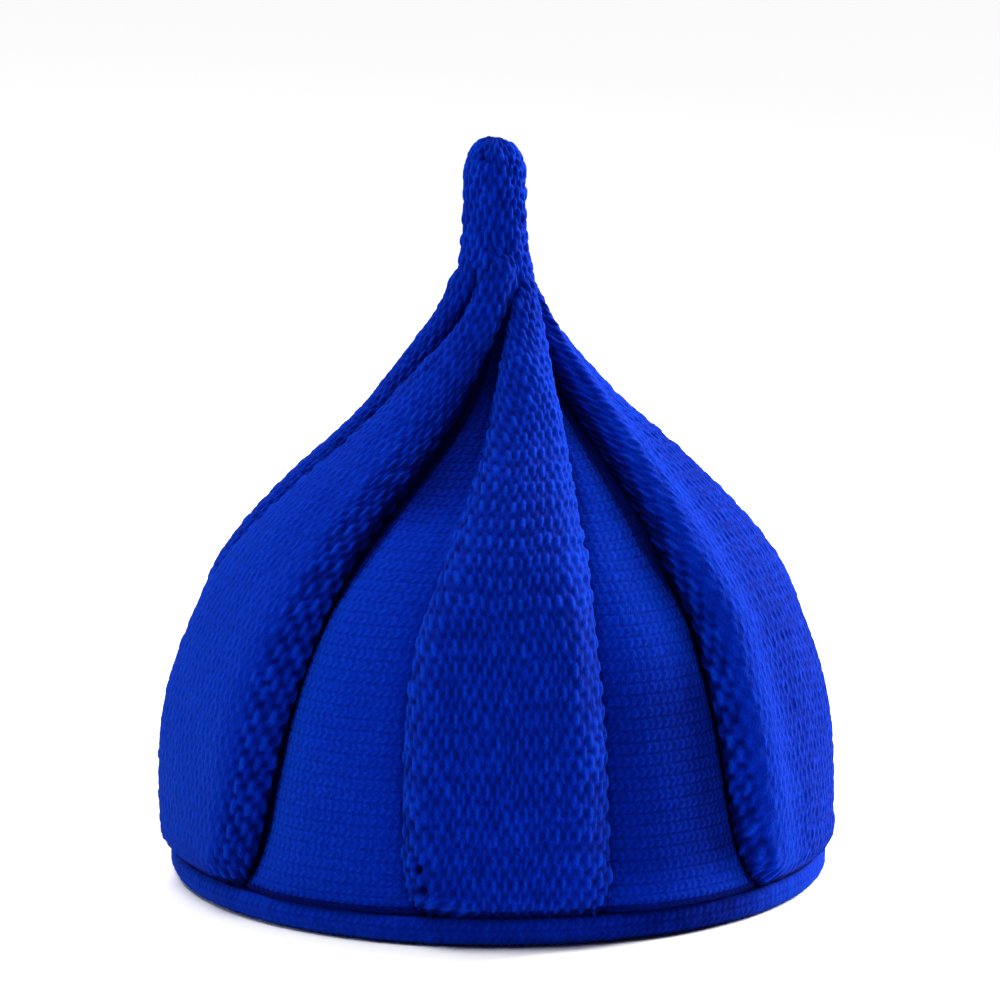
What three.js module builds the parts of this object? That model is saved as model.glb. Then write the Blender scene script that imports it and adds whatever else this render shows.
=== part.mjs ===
// A knitted beanie in the shape of an onion dome. Six raised panels run from the hem to the
// top, wind round the neck and end at a short knitted stalk; smooth gores lie between them.
// The crown is one continuous fabric, hollow and open below. A rolled hem finishes its edge
// and a stalk closes its top.
//
// Sizes are in millimetres and angles in degrees. +Z is up and the front faces -Y. The origin
// is on the crown's axis, in the plane that the hat rests on.

import * as THREE from "three";
import { mergeVertices } from "three/addons/utils/BufferGeometryUtils.js";

// --- Driving sizes -----------------------------------------------------------------------

const FABRIC = 3; // thickness of the knitted fabric
const GAP = 0.3; // running gap between touching pieces
const PANEL_PITCH = 60; // six panels share the round

const HEM_HEIGHT = 9.1;
const HEM_RADIUS = 97; // to the outside of the roll
const HEM_THICKNESS = 6.8;
const HEM_FOOT = 3; // width of the flat that the hat rests on
const HEM_SIDES = 60;

const WALL_FOOT = 14; // the crown's wall turns in to the hem below this height
const NECK_HEIGHT = 182; // where the stalk is picked up from the crown
const STALK_SIDES = 24;

// The crown's sections, from the hem to the neck. radius is to the crest of a raised panel,
// proud is how far the panel stands out of the gores, left and right are the turn of its
// edges about the axis, and lean is how far the section's middle sits towards +X.
const SECTIONS = [
  { height: HEM_HEIGHT + GAP, radius: 97.4, proud: 1.6, left: -13.6, right: 19, lean: 0 },
  { height: 11, radius: 100, proud: 3.2, left: -13.8, right: 19.1, lean: 0 },
  { height: WALL_FOOT, radius: 101.1, proud: 4.8, left: -14.1, right: 19.1, lean: 0 },
  { height: 25, radius: 101.6, proud: 5.6, left: -14.6, right: 19, lean: 0 },
  { height: 40, radius: 101.4, proud: 6.4, left: -15.2, right: 18.9, lean: 0 },
  { height: 58, radius: 99.3, proud: 7.2, left: -15.8, right: 18.9, lean: 0 },
  { height: 76, radius: 94.2, proud: 8, left: -16, right: 19.2, lean: 0.1 },
  { height: 92, radius: 86.6, proud: 8.8, left: -15, right: 20, lean: 0.2 },
  { height: 106, radius: 76.4, proud: 9.5, left: -12.6, right: 21.6, lean: 0.3 },
  { height: 118, radius: 64.3, proud: 10, left: -9.8, right: 24, lean: 0.3 },
  { height: 129, radius: 51.5, proud: 9.9, left: -7, right: 28, lean: 0.2 },
  { height: 139, radius: 39.9, proud: 9.3, left: -3.6, right: 34, lean: -0.3 },
  { height: 149, radius: 30.4, proud: 8.2, left: 2, right: 43, lean: -1.3 },
  { height: 158, radius: 22.9, proud: 6.6, left: 10, right: 55, lean: -1.8 },
  { height: 166, radius: 17.4, proud: 4.8, left: 21, right: 70, lean: -1.9 },
  { height: 174, radius: 13.6, proud: 2.8, left: 34, right: 88, lean: -1.9 },
  { height: NECK_HEIGHT, radius: 11.8, proud: 1, left: 48, right: 103, lean: -1.5 },
];

// Each panel starts at its own place and differs a little from the next: outLeft and outRight
// carry its edges outwards all the way up, hemLeft and hemRight move them at the hem.
const PANELS = [
  { start: 0, outLeft: 0, outRight: 0, hemLeft: 0, hemRight: 0 },
  { start: PANEL_PITCH, outLeft: 0, outRight: 4.5, hemLeft: 3.5, hemRight: 0 },
  { start: 2 * PANEL_PITCH, outLeft: 2, outRight: 1, hemLeft: 1, hemRight: 0 },
  { start: 3 * PANEL_PITCH, outLeft: 1, outRight: 2, hemLeft: 0, hemRight: -1 },
  { start: 4 * PANEL_PITCH, outLeft: 2, outRight: 1, hemLeft: 1, hemRight: 0 },
  { start: 5 * PANEL_PITCH, outLeft: 8, outRight: 0, hemLeft: 0, hemRight: -5 },
];
const HEM_REACH = 66; // height at which the panels' moves at the hem have died away
const OUT_FULL = 138; // wider panels come back to the common width between these heights
const OUT_NONE = 172;

// One panel's cross-section: across its width from the left edge to the right, and the rise
// above the gores as a share of proud. The right edge is rolled over the gore beside it.
const PANEL_SECTION = [
  { across: 0.05, rise: 0 },
  { across: 0, rise: 0.45 },
  { across: 0.06, rise: 0.8 },
  { across: 0.2, rise: 1 },
  { across: 0.37, rise: 0.94 },
  { across: 0.58, rise: 0.9 },
  { across: 0.77, rise: 0.96 },
  { across: 0.9, rise: 1 },
  { across: 0.98, rise: 0.82 },
  { across: 1, rise: 0.48 },
  { across: 0.95, rise: 0 },
];

// The gore between two panels: across its width, and how far it bulges out, in millimetres.
const GORE_SECTION = [
  { across: 0.25, bulge: 0.7 },
  { across: 0.5, bulge: 1 },
  { across: 0.75, bulge: 0.7 },
];

// The folds behind the panels fade out inside between these heights, and the hollow's round
// end closes above the last of the crown's own inner sections.
const INNER_FOLD_FULL = 112;
const INNER_FOLD_NONE = 146;
const HOLLOW_TOP_SECTION = 158;
const HOLLOW_END = [
  { height: 161.5, radius: 9.5 },
  { height: 164, radius: 5 },
];
const HOLLOW_APEX = 165;

// The stalk's outline, from its foot up to the small dimple where its last stitches gather.
const STALK_OUTLINE = [
  { height: NECK_HEIGHT + GAP, radius: 0 },
  { height: NECK_HEIGHT + GAP, radius: 11.6 },
  { height: 185.5, radius: 10.6 },
  { height: 190, radius: 9.9 },
  { height: 196, radius: 9.5 },
  { height: 204, radius: 9.3 },
  { height: 211, radius: 9.3 },
  { height: 214.5, radius: 8.5 },
  { height: 217, radius: 6.6 },
  { height: 218.6, radius: 4 },
  { height: 219, radius: 2 },
  { height: 218.6, radius: 0 },
];
const STALK_LEAN = -1.1;

// --- Colours -----------------------------------------------------------------------------

const panelYarn = new THREE.MeshStandardMaterial({ color: 0x0a2fd0, roughness: 0.95, metalness: 0 });
const hemYarn = new THREE.MeshStandardMaterial({ color: 0x0927b4, roughness: 0.95, metalness: 0 });
const stalkYarn = new THREE.MeshStandardMaterial({ color: 0x1038dc, roughness: 0.95, metalness: 0 });

// --- Sections ----------------------------------------------------------------------------

const COLUMNS = ["radius", "proud", "left", "right", "lean"];

const sectionCurve = new THREE.CubicInterpolant(
  SECTIONS.map((row) => row.height),
  SECTIONS.flatMap((row) => COLUMNS.map((column) => row[column])),
  COLUMNS.length,
);

// The section at any height, on a smooth curve through the table's rows.
function sectionAt(height) {
  const values = sectionCurve.evaluate(height);
  return Object.fromEntries(COLUMNS.map((column, i) => [column, values[i]]));
}

// A panel's two edges at a height.
function edgesOf(panel, section, height) {
  const hem = Math.max(0, 1 - height / HEM_REACH) ** 1.5;
  const out = fade(height, OUT_FULL, OUT_NONE);
  const left = panel.start + section.left - panel.outLeft * out + panel.hemLeft * hem;
  const right = panel.start + section.right + panel.outRight * out + panel.hemRight * hem;
  return { left, right };
}

// A point on the crown, from its turn about the axis. A turn of 0 is the front, and the turn
// grows towards +X.
function pointAt(turn, radius, height, lean) {
  const angle = THREE.MathUtils.degToRad(turn);
  return new THREE.Vector3(lean + radius * Math.sin(angle), -radius * Math.cos(angle), height);
}

// A share that is 1 up to the first height and 0 from the second.
function fade(height, full, none) {
  return 1 - THREE.MathUtils.smoothstep(height, full, none);
}

// One ring of the crown. inset is 0 on the outside, and the fabric's thickness inside, where
// each fold is that much narrower on both sides and that much nearer the axis. Where a fold
// has faded out, its points are spread evenly over the panel's width.
function crownRing(height, inset) {
  const section = sectionAt(height);
  const folded = inset > 0 ? fade(height, INNER_FOLD_FULL, INNER_FOLD_NONE) : 1;
  const proud = section.proud * folded;
  const floor = section.radius - section.proud - inset;
  const narrowing = THREE.MathUtils.radToDeg(inset / section.radius);
  const edges = PANELS.map((panel) => edgesOf(panel, section, height));
  const ring = [];
  edges.forEach(({ left, right }, k) => {
    const middle = (left + right) / 2;
    const shrink = 1 - (2 * narrowing) / (right - left);
    PANEL_SECTION.forEach(({ across, rise }, i) => {
      const even = i / (PANEL_SECTION.length - 1);
      const turn = THREE.MathUtils.lerp(left, right, THREE.MathUtils.lerp(even, across, folded));
      const inner = middle + (turn - middle) * shrink;
      ring.push(pointAt(inner, floor + proud * rise, height, section.lean));
    });
    const next = edges[(k + 1) % edges.length];
    const turnOn = k === edges.length - 1 ? 360 : 0;
    const width = next.left + turnOn - right;
    for (const { across, bulge } of GORE_SECTION) {
      const turn = right + across * width;
      ring.push(pointAt(turn, floor + bulge * (proud / section.proud), height, section.lean));
    }
  });
  return ring;
}

// A plain round ring with as many points as the crown's own.
function roundRing({ height, radius }, turns, lean) {
  return turns.map((turn) => pointAt(turn, radius, height, lean));
}

// --- Closed skins ------------------------------------------------------------------------

// Joins rings of equal length into one closed skin, from a pole through each ring to another
// pole. The rings run to the right seen from outside, and the first pole is the top one.
function closedSkin(firstPole, rings, lastPole) {
  const count = rings[0].length;
  const points = [firstPole, ...rings.flat(), lastPole];
  const indices = [];
  for (let i = 0; i < count; i += 1) {
    const j = (i + 1) % count;
    const end = 1 + (rings.length - 1) * count;
    indices.push(0, 1 + i, 1 + j);
    indices.push(end + j, end + i, points.length - 1);
    for (let ring = 0; ring < rings.length - 1; ring += 1) {
      const above = 1 + ring * count;
      const below = above + count;
      indices.push(above + i, below + i, below + j);
      indices.push(above + i, below + j, above + j);
    }
  }
  const skin = new THREE.BufferGeometry().setFromPoints(points);
  skin.setIndex(indices);
  skin.computeVertexNormals();
  return skin;
}

// --- Pieces ------------------------------------------------------------------------------

// The crown: its outside from the neck down to the hem, then its inside up to the hollow's
// round end.
function crown() {
  const heights = SECTIONS.map((row) => row.height);
  const upper = heights.filter((height) => height >= WALL_FOOT);
  const between = upper.slice(1).map((height, i) => (height + upper[i]) / 2);
  const outside = [...heights, ...between].sort((a, b) => b - a);
  const inside = heights.filter((height) => height <= HOLLOW_TOP_SECTION);
  const neck = sectionAt(NECK_HEIGHT);
  const end = sectionAt(HOLLOW_TOP_SECTION);
  const last = crownRing(HOLLOW_TOP_SECTION, FABRIC);
  const turns = last.map((point) => {
    const angle = Math.atan2(point.x - end.lean, -point.y);
    return THREE.MathUtils.radToDeg(angle);
  });
  const rings = [
    ...outside.map((height) => crownRing(height, 0)),
    ...inside.map((height) => crownRing(height, FABRIC)),
    ...HOLLOW_END.map((row) => roundRing(row, turns, end.lean)),
  ];
  const top = new THREE.Vector3(neck.lean, 0, NECK_HEIGHT);
  const apex = new THREE.Vector3(end.lean, 0, HOLLOW_APEX);
  return closedSkin(top, rings, apex);
}

// The hem: a roll of fabric with a narrow flat foot, set in from its widest part.
function hem() {
  const inner = HEM_RADIUS - HEM_THICKNESS;
  const footOut = HEM_RADIUS - 4.4;
  const outline = [
    { radius: footOut, height: 0 },
    { radius: HEM_RADIUS - 2.2, height: 1.4 },
    { radius: HEM_RADIUS, height: 4.4 },
    { radius: HEM_RADIUS, height: 7 },
    { radius: HEM_RADIUS - 1.2, height: HEM_HEIGHT },
    { radius: inner + 1.2, height: HEM_HEIGHT },
    { radius: inner, height: 7 },
    { radius: inner - 0.8, height: 2.6 },
    { radius: footOut - HEM_FOOT, height: 0 },
    { radius: footOut, height: 0 },
  ];
  return uprightLathe(outline, HEM_SIDES);
}

// The stalk: a solid knitted cord, a little wider at its foot.
function stalk() {
  return uprightLathe(STALK_OUTLINE, STALK_SIDES);
}

// A lathe turns its outline about Y; this stands it up along +Z.
function uprightLathe(outline, sides) {
  const points = outline.map(({ radius, height }) => new THREE.Vector2(radius, height));
  const turned = new THREE.LatheGeometry(points, sides);
  turned.rotateX(Math.PI / 2);
  turned.deleteAttribute("normal");
  turned.deleteAttribute("uv");
  const welded = mergeVertices(turned);
  welded.computeVertexNormals();
  return welded;
}

// --- Assembly ----------------------------------------------------------------------------

function piece(name, geometry, material) {
  const mesh = new THREE.Mesh(geometry, material);
  mesh.name = name;
  return mesh;
}

const beanie = new THREE.Group();
beanie.name = "beanie";

const stalkPiece = piece("stalk", stalk(), stalkYarn);
stalkPiece.position.x = STALK_LEAN;

beanie.add(piece("crown", crown(), panelYarn));
beanie.add(piece("hem", hem(), hemYarn));
beanie.add(stalkPiece);

export default beanie;
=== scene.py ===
"""A knitted beanie shaped like an onion dome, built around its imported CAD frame.

The hat is knitted sideways in six wedges. Each wedge is a raised panel in a moss of long purl bumps and a
recessed gore in plain knit. The wedges twist into a short knitted stalk, and the hem rolls up at the bottom.

Lengths are in metres in the frame of the part: +Z is up, the front faces -Y and the rolled hem rests on
z = 0. The tables give millimetres and degrees, as a knitter's chart would, and turns are counted from the
front towards +X.
"""

import logging
import math
from dataclasses import dataclass, field
from enum import Enum

import bmesh
import bpy
import numpy as np
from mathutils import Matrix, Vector


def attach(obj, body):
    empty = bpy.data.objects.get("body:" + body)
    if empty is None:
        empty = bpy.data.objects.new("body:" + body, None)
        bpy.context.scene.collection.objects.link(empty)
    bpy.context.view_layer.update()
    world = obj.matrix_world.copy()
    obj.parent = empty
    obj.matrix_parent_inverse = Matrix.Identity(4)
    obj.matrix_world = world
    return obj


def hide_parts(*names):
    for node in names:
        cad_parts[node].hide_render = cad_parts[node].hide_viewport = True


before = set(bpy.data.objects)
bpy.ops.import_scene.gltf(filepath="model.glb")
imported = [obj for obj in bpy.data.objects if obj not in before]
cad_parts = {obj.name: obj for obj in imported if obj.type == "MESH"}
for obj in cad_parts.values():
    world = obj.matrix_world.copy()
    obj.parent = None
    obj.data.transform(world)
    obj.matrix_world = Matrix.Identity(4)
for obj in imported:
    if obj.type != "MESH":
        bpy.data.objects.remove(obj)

MM = 0.001
FULL_TURN = 2.0 * math.pi
BODY = "root"
# The least length that a vector is divided by.
TINY = 1e-12
Span = tuple[float, float]
Array = np.ndarray
Waves = tuple[tuple[float, float, float, float], ...]
LOG = logging.getLogger("beanie")


# --- Small helpers ---


def smoothstep(value: Array, low: float, high: float) -> Array:
    """Rise smoothly from 0 at low to 1 at high."""
    share = np.clip((value - low) / (high - low), 0.0, 1.0)
    return share * share * (3.0 - 2.0 * share)


def fade(value: Array, low: float, high: float) -> Array:
    """Fall smoothly from 1 at low to 0 at high."""
    return 1.0 - smoothstep(value, low, high)


def at_least(least: float, share: Array) -> Array:
    """Squeeze shares from 0 to 1 into the range from the least to 1."""
    return least + (1.0 - least) * share


@dataclass(frozen=True)
class Band:
    """A stretch where something holds: it sets in from low to full, and fades from fading to gone."""

    low: float
    full: float
    fading: float
    gone: float

    def share(self, value: Array) -> Array:
        """Say how much of it holds at each value, from 0 to 1."""
        return smoothstep(value, self.low, self.full) * fade(value, self.fading, self.gone)


def hashed(first: Array, second: Array, seed: float) -> Array:
    """Give each pair of whole numbers its own number from -1 to 1, in a pattern that the seed picks."""
    mixed = np.sin(first * 127.1 + second * 311.7 + seed * 74.7) * 43758.5453
    return 2.0 * (mixed - np.floor(mixed)) - 1.0


def waves(across: Array, along: Array, table: Waves, seed: float = 0.0) -> Array:
    """Add up sine waves, each given by its height and how fast its angle grows across, along and by seed."""
    return sum(
        height * np.sin(by_across * across + by_along * along + by_seed * seed)
        for height, by_across, by_along, by_seed in table
    )


def slow_wave(turn: Array, height: Array, seed: float) -> Array:
    """Mix a few long sine waves round the hat, for the unevenness that soft fabric has.

    Args:
        turn: turns about the axis in radians.
        height: heights in metres.
        seed: picks one of many such patterns.

    Returns:
        Numbers that stay within about -1 to 1.
    """
    total = np.zeros(np.broadcast(turn, height).shape)
    for step, (around, upward) in enumerate(((3, 41.0), (5, -67.0), (9, 93.0), (14, 131.0))):
        phase = seed * (1.7 + step) + step * 2.1
        total = total + np.sin(around * turn + upward * height + phase) / (1.6 + 0.7 * step)
    return total / 1.8


def about_axis(turn: Array, outward: Array, upward: Array, lean: float = 0.0) -> Array:
    """Make vectors from turns in radians and measures outward and upward, about an axis moved towards +X."""
    return np.stack((lean + outward * np.sin(turn), -outward * np.cos(turn), upward), axis=-1)


def add_object(name: str, data: bpy.types.ID) -> bpy.types.Object:
    """Add an object to the scene.

    Args:
        name: its name.
        data: its mesh, light or camera.

    Returns:
        The new object, at the origin.
    """
    added = bpy.data.objects.new(name, data)
    bpy.context.scene.collection.objects.link(added)
    return added


def turns(points: Array) -> Array:
    """Give each point's turn about the axis, in radians."""
    return np.arctan2(points[..., 0], -points[..., 1])


def triangles(piece: bpy.types.Object) -> int:
    """Count the triangles that a piece's faces make."""
    return sum(len(face.vertices) - 2 for face in piece.data.polygons)


# --- The crown's form ---


@dataclass(frozen=True)
class Section:
    """One level of the crown: lengths in millimetres, and the first panel's edges as turns in degrees.

    The radius is the panels', proud is how far they stand above the gores, and the axis leans towards +X.
    """

    height: float
    radius: float
    proud: float
    left: float
    right: float
    lean: float


class Fold(Enum):
    """How a panel is folded."""

    BOX = "flat on top between two walls"
    RIDGE = "highest beside its left wall, from where its face falls away"


@dataclass(frozen=True)
class Panel:
    """One raised panel: where it starts, how its edges differ from the first panel's, its tip and creases.

    Turns are in degrees and lengths in millimetres. The out values widen it on either side below the twist,
    the hem values add to its edges' turns at the hem, and the high value bulges its left edge out higher up.
    The tip is a height, and the creases are depths at its two feet, which also set how dark their painted
    shade is. The grain is the share of the stitches' relief that its face keeps, and the shadow is how far
    the painted shadow of the fold beside its left edge reaches over the gore.
    """

    start: float
    out_left: float
    out_right: float
    hem_left: float
    hem_right: float
    tip: float
    left_crease: float
    right_crease: float
    grain: float
    shadow: float
    fold: Fold = Fold.BOX
    high_left: float = 0.0


@dataclass(frozen=True)
class Crosspoint:
    """One point of a cross-section: across it from 0 to 1, and up a fold from its foot to its crest likewise.

    A second rise, where there is one, takes over higher up towards the twist.
    """

    across: float
    rise: float
    high: float | None = None


SECTIONS = tuple(
    Section(*section)
    for section in (
        (8.8, 95.8, 1.2, -12.4, 17.0, 0.0), (10.6, 98.4, 3.0, -13.8, 18.2, 0.0),
        (14.0, 100.6, 5.4, -15.2, 19.0, 0.0), (25.0, 101.6, 8.0, -16.2, 19.0, 0.0),
        (40.0, 101.4, 9.3, -16.7, 18.9, 0.0), (58.0, 99.3, 10.2, -16.8, 18.9, 0.0),
        (76.0, 94.2, 10.9, -16.4, 19.2, 0.1), (92.0, 86.6, 11.5, -15.0, 20.0, 0.2),
        (106.0, 76.4, 11.6, -12.6, 21.6, 0.3), (118.0, 64.3, 12.0, -9.8, 24.0, 0.3),
        (129.0, 51.5, 11.7, -7.0, 28.0, 0.2), (139.0, 39.9, 10.8, -3.6, 34.0, -0.3),
        (149.0, 30.4, 9.3, 2.0, 43.0, -1.3), (158.0, 22.9, 7.4, 10.0, 55.0, -1.8),
        (166.0, 17.4, 5.4, 21.0, 70.0, -1.9), (174.0, 13.9, 3.6, 34.0, 88.0, -1.9),
        (182.0, 12.2, 2.4, 48.0, 103.0, -1.5), (188.0, 11.2, 1.8, 56.0, 111.0, -1.3),
    )
)

PANELS = (
    Panel(0.0, 0.0, 0.0, 0.0, 0.0, 181.0, 0.1, 0.7, 1.0, 5.0),
    Panel(60.0, 0.0, 4.5, 4.4, 0.0, 180.0, 2.0, 1.6, 0.45, 27.0, Fold.RIDGE, 3.8),
    Panel(120.0, 2.0, 1.0, 0.7, 0.0, 179.0, 1.6, 1.6, 0.8, 8.0),
    Panel(180.0, 1.0, 2.0, 0.0, -0.7, 181.0, 1.6, 1.6, 0.8, 8.0),
    Panel(240.0, 2.0, 1.0, 0.7, 0.0, 184.0, 1.6, 1.6, 0.7, 8.0),
    Panel(300.0, 8.0, 1.0, 0.0, -10.0, 187.0, 1.6, 2.0, 0.42, 8.0),
)

BOX_SECTION = tuple(
    Crosspoint(*point)
    for point in (
        (0.02, -0.03), (0.0, 0.1), (0.012, 0.3), (0.045, 0.6, 0.56),
        (0.095, 0.87, 0.8), (0.15, 1.0, 0.94), (0.25, 1.02, 1.04), (0.5, 0.93, 1.08),
        (0.74, 1.0, 0.92), (0.83, 0.985, 0.79), (0.9, 0.82, 0.62), (0.955, 0.56, 0.41),
        (0.99, 0.28, 0.22), (1.0, 0.08), (0.98, -0.1),
    )
)

RIDGE_SECTION = tuple(
    Crosspoint(*point)
    for point in (
        (0.02, -0.03), (0.0, 0.1), (0.01, 0.38), (0.032, 0.66), (0.066, 0.9),
        (0.11, 1.05), (0.18, 1.06), (0.3, 0.94), (0.52, 0.99), (0.78, 1.0),
        (0.89, 0.82), (0.95, 0.56), (0.99, 0.28), (1.0, 0.08), (0.98, -0.1),
    )
)

FOLD_SECTIONS = {Fold.BOX: BOX_SECTION, Fold.RIDGE: RIDGE_SECTION}

# A gore's points rise in millimetres above the level that the panels' proud height is counted from.
GORE_SECTION = tuple(
    Crosspoint(*point) for point in ((0.08, 1.2), (0.27, 2.7), (0.5, 2.9), (0.74, 2.5), (0.92, 1.5))
)

# The cubics that weigh a Catmull-Rom spline's four points, highest power first.
CATMULL_ROM = ((-0.5, 1.0, -0.5, 0.0), (1.5, -2.5, 0.0, 1.0), (-1.5, 2.0, 0.5, 0.0), (0.5, -0.5, 0.0, 0.0))


@dataclass
class CrownForm:
    """The crown's smooth outer form at some heights, as level curves of panels and gores.

    Lengths are in millimetres and turns in degrees. Panels, wedges and gores are counted round the hat, where
    6 is the first again. The spans and bands are the heights over which each change comes about.
    """

    heights: Array
    hem_reach: float = 100.0
    out: Span = (138.0, 172.0)
    samples: int = 14
    tip_length: float = 9.0
    tip_sink: float = 3.0
    tip_curve: float = 0.6
    hem_curve: float = 1.5
    bulge: Band = Band(82.0, 108.0, 122.0, 150.0)
    creases: Band = Band(8.0, 26.0, 162.0, 184.0)
    upper: Span = (85.0, 112.0)
    gore_drop: float = 4.5
    gore_dropped: Band = Band(85.0, 118.0, 148.0, 172.0)
    gore_flat: float = 0.9
    gore_flattens: Span = (125.0, 165.0)
    gore_sinks: Span = (171.0, 181.0)
    crease_curve: int = 5
    level: dict[str, Array] = field(init=False)

    def __post_init__(self) -> None:
        """Read the section table's columns at the heights, on smooth curves through its rows."""
        known = np.array([row.height for row in SECTIONS])
        place = np.clip(np.searchsorted(known, self.heights, side="right") - 1, 0, len(known) - 2)
        gap = known[place + 1] - known[place]
        share = np.clip((self.heights - known[place]) / gap, 0.0, 1.0)
        self.level = {}
        for name in ("radius", "proud", "left", "right", "lean"):
            values = np.array([getattr(row, name) for row in SECTIONS])
            slopes = np.gradient(values, known)
            rise = 3.0 * share**2 - 2.0 * share**3
            out_of = share**3 - 2.0 * share**2 + share
            into = share**3 - share**2
            self.level[name] = (
                values[place] * (1.0 - rise)
                + values[place + 1] * rise
                + (slopes[place] * out_of + slopes[place + 1] * into) * gap
            )

    def edges(self, index: int) -> tuple[Array, Array]:
        """Find a panel's two edges.

        Args:
            index: the panel.

        Returns:
            The turns of the left and the right edge.
        """
        panel = PANELS[index % len(PANELS)]
        start = panel.start + 360.0 * (index // len(PANELS))
        hem = np.clip(1.0 - self.heights / self.hem_reach, 0.0, 1.0) ** self.hem_curve
        out = fade(self.heights, *self.out)
        out_left = panel.out_left * out + panel.high_left * self.bulge.share(self.heights)
        left = start + self.level["left"] - out_left + panel.hem_left * hem
        right = start + self.level["right"] + panel.out_right * out + panel.hem_right * hem
        return left, right

    def tapered(self, index: int) -> Array:
        """Round off a panel's tip like a finger's end.

        Args:
            index: the panel.

        Returns:
            The share of the panel's width that is left, from 1 down to 0 at its tip.
        """
        tip = PANELS[index % len(PANELS)].tip
        into = np.clip((self.heights - tip + self.tip_length) / self.tip_length, 0.0, 1.0)
        return np.sqrt(np.clip(1.0 - into**2, 0.0, 1.0))

    def points(self, turn: Array, radius: Array) -> Array:
        """Place a point in metres at each height."""
        return about_axis(np.radians(turn), radius, self.heights, self.level["lean"]) * MM

    def panel_points(self, index: int) -> list[Array]:
        """Place the points of a panel's cross-section.

        Args:
            index: the panel.

        Returns:
            Points in metres for each height, one array for each point of the cross-section.
        """
        row = self.level
        left, right = self.edges(index)
        taper = self.tapered(index)
        middle = (left + right) / 2.0
        panel = PANELS[index % len(PANELS)]
        found = []
        section = FOLD_SECTIONS[panel.fold]
        upper = smoothstep(self.heights, *self.upper)
        creases = {0: panel.left_crease, len(section) - 1: panel.right_crease}
        for place, point in enumerate(section):
            turn = middle + (left + point.across * (right - left) - middle) * taper
            rise = point.rise if point.high is None else point.rise + (point.high - point.rise) * upper
            radius = row["radius"] - row["proud"] * (1.0 - rise * taper**self.tip_curve)
            radius = radius - creases.get(place, 0.0) * self.creases.share(self.heights)
            found.append(self.points(turn, radius - self.tip_sink * (1.0 - taper) ** 2))
        return found

    def gore_points(self, index: int) -> list[Array]:
        """Place the points of the gore to the right of a panel, which sinks deeper towards the twist.

        Args:
            index: the panel.

        Returns:
            Points in metres for each height, one array for each point of the cross-section.
        """
        right = self.edges(index)[1]
        next_left = self.edges(index + 1)[0]
        base = self.level["radius"] - self.level["proud"]
        drop = self.gore_drop * self.gore_dropped.share(self.heights)
        drop = drop + self.tip_sink * smoothstep(self.heights, *self.gore_sinks)
        flat = 1.0 - self.gore_flat * smoothstep(self.heights, *self.gore_flattens)
        left_side = PANELS[index % len(PANELS)].right_crease
        right_side = PANELS[(index + 1) % len(PANELS)].left_crease
        found = []
        for point in GORE_SECTION:
            crease = left_side * (1.0 - point.across) ** self.crease_curve
            crease += right_side * point.across**self.crease_curve
            turn = right + point.across * (next_left - right)
            radius = base + point.rise * flat - drop - crease * self.creases.share(self.heights)
            found.append(self.points(turn, radius))
        return found

    def curves(self, index: int) -> Array:
        """Draw a wedge's level curves through its cross-sections' points, as Catmull-Rom splines.

        Args:
            index: the wedge.

        Returns:
            Points in metres, for each height and each step along the curve.
        """
        ends = self.gore_points(index - 1)[-1:], self.panel_points(index + 1)[:2]
        controls = np.stack(ends[0] + self.panel_points(index) + self.gore_points(index) + ends[1], axis=1)
        spans = controls.shape[1] - 3
        share = np.linspace(0.0, 1.0, self.samples, endpoint=False)
        weights = np.zeros((spans * self.samples + 1, controls.shape[1]))
        for span in range(spans):
            rows = slice(span * self.samples, (span + 1) * self.samples)
            for point, cubic in enumerate(CATMULL_ROM):
                weights[rows, span + point] = np.polyval(cubic, share)
        weights[-1, spans + 1] = 1.0
        return np.einsum("sk,hkc->hsc", weights, controls)


def row_heights(spacing: float, fine_step: float = 0.2) -> Array:
    """Space rows evenly up the first panel's crest.

    Args:
        spacing: the distance between rows along the fabric, in metres.
        fine_step: how finely the crest is followed, in millimetres of height.

    Returns:
        Heights in millimetres, from the hem to the end of the table.
    """
    fine = CrownForm(np.arange(SECTIONS[0].height, SECTIONS[-1].height, fine_step))
    crest = fine.points(sum(fine.edges(0)) / 2.0, fine.level["radius"])
    along = np.append(0.0, np.cumsum(np.linalg.norm(np.diff(crest, axis=0), axis=1)))
    return np.interp(np.arange(0.0, along[-1], spacing), along, fine.heights)


# --- Stitches ---


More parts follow.
